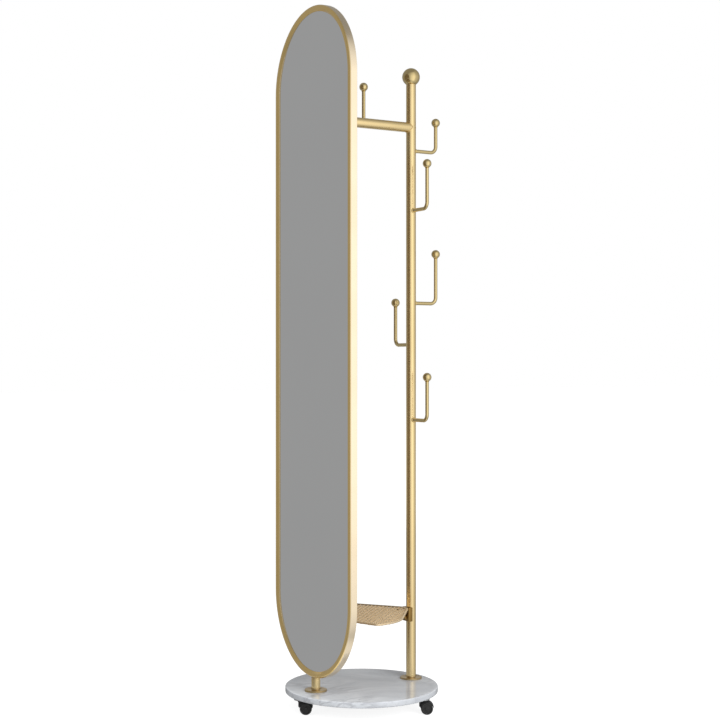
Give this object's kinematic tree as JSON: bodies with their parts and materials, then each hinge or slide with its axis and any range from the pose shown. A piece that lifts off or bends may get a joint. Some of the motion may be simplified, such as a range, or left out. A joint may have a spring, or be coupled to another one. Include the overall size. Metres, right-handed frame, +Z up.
{
  "type": "rotating floor mirror with clothes rack",
  "caption": "Tall pill-shaped floor mirror that turns on a post, on a round marble base with casters, backed by a pole with a crossbar, ball-tipped hooks and a mesh tray.",
  "frame": {"origin": "centre of the bounding box on the floor", "axes": "+Z up, +X across the mirror, the mirror faces -Y and the rack stands on its +Y side"},
  "size_m": [0.384, 0.422, 1.7269],
  "materials": {
    "gold": "satin champagne gold lacquer on steel tube and sheet",
    "steel": "zinc-plated steel",
    "marble": "polished white and grey marble",
    "mirror": "silvered float glass",
    "board": "dark hardboard",
    "black": "black moulded nylon",
    "nylon": "natural nylon"
  },
  "bodies": {
    "stand": {"post_flange": "gold", "pole_flange": "gold", "front_post": "gold", "rear_pole": "gold", "ball_finial": "gold", "crossbar": "gold", "pivot_arm": "gold", "tray_floor": "gold", "tray_rim": "gold", "tray_bracket": "gold", "hook_1_rod": "gold", "hook_1_ball": "gold", "hook_2_rod": "gold", "hook_2_ball": "gold", "hook_3_rod": "gold", "hook_3_ball": "gold", "hook_4_rod": "gold", "hook_4_ball": "gold", "hook_5_rod": "gold", "hook_5_ball": "gold", "hook_6_rod": "gold", "hook_6_ball": "gold", "base_slab": "marble", "post_foot_plug": "steel", "post_bolt": "steel", "pole_foot_plug": "steel", "pole_bolt": "steel", "pivot_pin": "steel", "crossbar_plug": "steel", "crossbar_bolt": "steel", "tray_screw_lower": "steel", "tray_screw_upper": "steel", "thrust_washer": "nylon", "caster_1_plate": "steel", "caster_2_plate": "steel", "caster_3_plate": "steel"},
    "mirror": {"mirror_frame": "gold", "mirror_glass": "mirror", "back_panel": "board", "lower_pivot_block": "steel", "upper_pivot_strap": "steel", "panel_clip_1": "steel", "panel_clip_2": "steel", "panel_clip_3": "steel", "panel_clip_4": "steel"},
    "caster_1": {"caster_1_hood": "black"},
    "caster_1_wheels": {"caster_1_axle": "steel", "caster_1_wheel_left": "black", "caster_1_wheel_right": "black"},
    "caster_2": {"caster_2_hood": "black"},
    "caster_2_wheels": {"caster_2_axle": "steel", "caster_2_wheel_left": "black", "caster_2_wheel_right": "black"},
    "caster_3": {"caster_3_hood": "black"},
    "caster_3_wheels": {"caster_3_axle": "steel", "caster_3_wheel_left": "black", "caster_3_wheel_right": "black"}
  },
  "joints": [
    {"name": "mirror_turn", "type": "hinge", "parent": "stand", "child": "mirror", "pos_m": [0, -0.151, 0.0869], "axis": [0, 0, 1], "range_deg": [-20, 20]},
    {"name": "caster_1_swivel", "type": "hinge", "parent": "stand", "child": "caster_1", "pos_m": [0, -0.191, 0.0355], "axis": [0, 0, 1], "continuous": true},
    {"name": "caster_1_roll", "type": "hinge", "parent": "caster_1", "child": "caster_1_wheels", "pos_m": [0.0055, -0.18147, 0.01482], "axis": [-0.866, 0.5, 0], "continuous": true},
    {"name": "caster_2_swivel", "type": "hinge", "parent": "stand", "child": "caster_2", "pos_m": [0.14722, 0.064, 0.0355], "axis": [0, 0, 1], "continuous": true},
    {"name": "caster_2_roll", "type": "hinge", "parent": "caster_2", "child": "caster_2_wheels", "pos_m": [0.15272, 0.07353, 0.01482], "axis": [-0.866, 0.5, 0], "continuous": true},
    {"name": "caster_3_swivel", "type": "hinge", "parent": "stand", "child": "caster_3", "pos_m": [-0.14722, 0.064, 0.0355], "axis": [0, 0, 1], "continuous": true},
    {"name": "caster_3_roll", "type": "hinge", "parent": "caster_3", "child": "caster_3_wheels", "pos_m": [-0.14172, 0.07353, 0.01482], "axis": [-0.866, 0.5, 0], "continuous": true}
  ]
}
